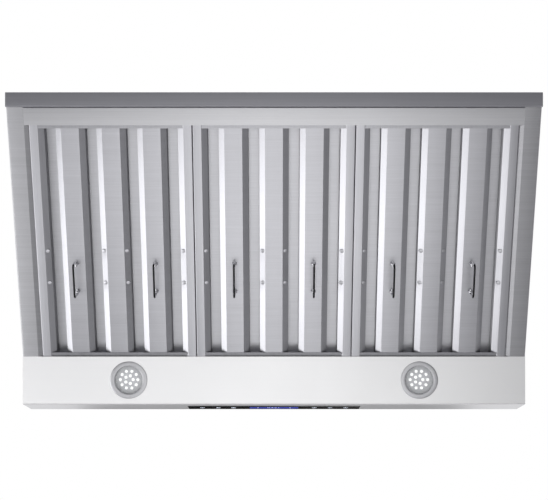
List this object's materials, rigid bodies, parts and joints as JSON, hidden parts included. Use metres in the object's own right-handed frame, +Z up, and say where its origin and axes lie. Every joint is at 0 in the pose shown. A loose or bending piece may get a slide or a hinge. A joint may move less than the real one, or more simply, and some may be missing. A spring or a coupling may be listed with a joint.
{
  "type": "wall mount range hood",
  "caption": "Wall mount range hood with sloping baffle filters on wire handles, lights, touch glass, blower, duct collar with damper and telescoping duct covers.",
  "frame": {"origin": "middle of the four wall screw holes, on the wall face of the back panel", "axes": "+Z up, +Y into the wall, X along the width; the front lip is at -Y"},
  "size_m": [0.914, 0.5685, 0.81],
  "materials": {
    "canopy_steel": "brushed stainless steel",
    "filter_steel": "stainless steel baffles, fine lengthwise grain",
    "handle_wire": "polished wire",
    "light_trim": "satin turned ring",
    "light_lens": "clear flat lens",
    "lamp_beads": "white board with lamp beads",
    "lamp_can": "drawn can",
    "control_glass": "black printed glass",
    "black_plastic": "moulded",
    "circuit_board": "glass fibre board",
    "galvanised_sheet": "galvanised sheet",
    "impeller_sheet": "galvanised sheet",
    "motor_paint": "black enamel",
    "bright_steel": "ground rod",
    "screw_steel": "plated pan head screws",
    "flap_sheet": "aluminium flap",
    "capacitor_case": "moulded case",
    "lead_rubber": "sleeved leads"
  },
  "bodies": {
    "canopy": {"left_side_panel": "canopy_steel", "right_side_panel": "canopy_steel", "light_panel": "canopy_steel", "front_lip": "canopy_steel", "front_slope_panel": "canopy_steel", "top_deck": "canopy_steel", "back_panel": "canopy_steel", "rear_rail": "canopy_steel", "rear_trough": "canopy_steel", "left_light_trim": "light_trim", "left_light_lens": "light_lens", "left_lamp_board": "lamp_beads", "left_lamp_can": "lamp_can", "right_light_trim": "light_trim", "right_light_lens": "light_lens", "right_lamp_board": "lamp_beads", "right_lamp_can": "lamp_can", "control_glass": "control_glass", "control_housing": "black_plastic", "touch_board": "circuit_board", "blower_scroll": "galvanised_sheet", "motor_body": "motor_paint", "motor_bracket": "galvanised_sheet", "blower_screws": "screw_steel", "duct_collar": "galvanised_sheet", "damper_pin": "bright_steel", "lower_duct_cover": "canopy_steel", "cover_feet": "galvanised_sheet", "lower_cover_screws": "screw_steel", "junction_box": "galvanised_sheet", "junction_box_cover": "galvanised_sheet", "cable_gland": "black_plastic", "control_box": "galvanised_sheet", "control_board": "circuit_board", "capacitor": "capacitor_case", "wiring_harness": "lead_rubber"},
    "left_filter": {"left_filter_frame": "filter_steel", "left_filter_lower_baffles": "filter_steel", "left_filter_upper_baffles": "filter_steel"},
    "left_filter_left_handle": {"left_filter_left_handle": "handle_wire"},
    "left_filter_right_handle": {"left_filter_right_handle": "handle_wire"},
    "middle_filter": {"middle_filter_frame": "filter_steel", "middle_filter_lower_baffles": "filter_steel", "middle_filter_upper_baffles": "filter_steel"},
    "middle_filter_left_handle": {"middle_filter_left_handle": "handle_wire"},
    "middle_filter_right_handle": {"middle_filter_right_handle": "handle_wire"},
    "right_filter": {"right_filter_frame": "filter_steel", "right_filter_lower_baffles": "filter_steel", "right_filter_upper_baffles": "filter_steel"},
    "right_filter_left_handle": {"right_filter_left_handle": "handle_wire"},
    "right_filter_right_handle": {"right_filter_right_handle": "handle_wire"},
    "impeller": {"impeller": "impeller_sheet", "motor_shaft": "bright_steel"},
    "front_flap": {"front_damper_flap": "flap_sheet"},
    "rear_flap": {"rear_damper_flap": "flap_sheet"},
    "upper_cover": {"upper_duct_cover": "canopy_steel", "ceiling_bracket": "galvanised_sheet", "upper_cover_screws": "screw_steel"}
  },
  "joints": [
    {"name": "left_filter_push", "type": "slide", "parent": "canopy", "child": "left_filter", "axis": [0, -0.9701, 0.2429], "range_m": [0, 0.0095]},
    {"name": "left_filter_left_handle_swing", "type": "hinge", "parent": "left_filter", "child": "left_filter_left_handle", "pos_m": [-0.351, -0.31797, -0.17359], "axis": [0, -0.9701, 0.2429], "range_deg": [-80, 80]},
    {"name": "left_filter_right_handle_swing", "type": "hinge", "parent": "left_filter", "child": "left_filter_right_handle", "pos_m": [-0.2106, -0.31797, -0.17359], "axis": [0, -0.9701, 0.2429], "range_deg": [-80, 80]},
    {"name": "middle_filter_push", "type": "slide", "parent": "canopy", "child": "middle_filter", "axis": [0, -0.9701, 0.2429], "range_m": [0, 0.0095]},
    {"name": "middle_filter_left_handle_swing", "type": "hinge", "parent": "middle_filter", "child": "middle_filter_left_handle", "pos_m": [-0.0702, -0.31797, -0.17359], "axis": [0, -0.9701, 0.2429], "range_deg": [-80, 80]},
    {"name": "middle_filter_right_handle_swing", "type": "hinge", "parent": "middle_filter", "child": "middle_filter_right_handle", "pos_m": [0.0702, -0.31797, -0.17359], "axis": [0, -0.9701, 0.2429], "range_deg": [-80, 80]},
    {"name": "right_filter_push", "type": "slide", "parent": "canopy", "child": "right_filter", "axis": [0, -0.9701, 0.2429], "range_m": [0, 0.0095]},
    {"name": "right_filter_left_handle_swing", "type": "hinge", "parent": "right_filter", "child": "right_filter_left_handle", "pos_m": [0.2106, -0.31797, -0.17359], "axis": [0, -0.9701, 0.2429], "range_deg": [-80, 80]},
    {"name": "right_filter_right_handle_swing", "type": "hinge", "parent": "right_filter", "child": "right_filter_right_handle", "pos_m": [0.351, -0.31797, -0.17359], "axis": [0, -0.9701, 0.2429], "range_deg": [-80, 80]},
    {"name": "impeller_spin", "type": "hinge", "parent": "canopy", "child": "impeller", "pos_m": [0, -0.205, -0.033], "axis": [1, 0, 0], "continuous": true},
    {"name": "front_flap_open", "type": "hinge", "parent": "canopy", "child": "front_flap", "pos_m": [0, -0.1195, 0.1275], "axis": [-1, 0, 0], "range_deg": [0, 78]},
    {"name": "rear_flap_open", "type": "hinge", "parent": "canopy", "child": "rear_flap", "pos_m": [0, -0.1195, 0.1275], "axis": [1, 0, 0], "range_deg": [0, 78]},
    {"name": "upper_cover_raise", "type": "slide", "parent": "canopy", "child": "upper_cover", "axis": [0, 0, 1], "range_m": [0, 0.33]}
  ]
}
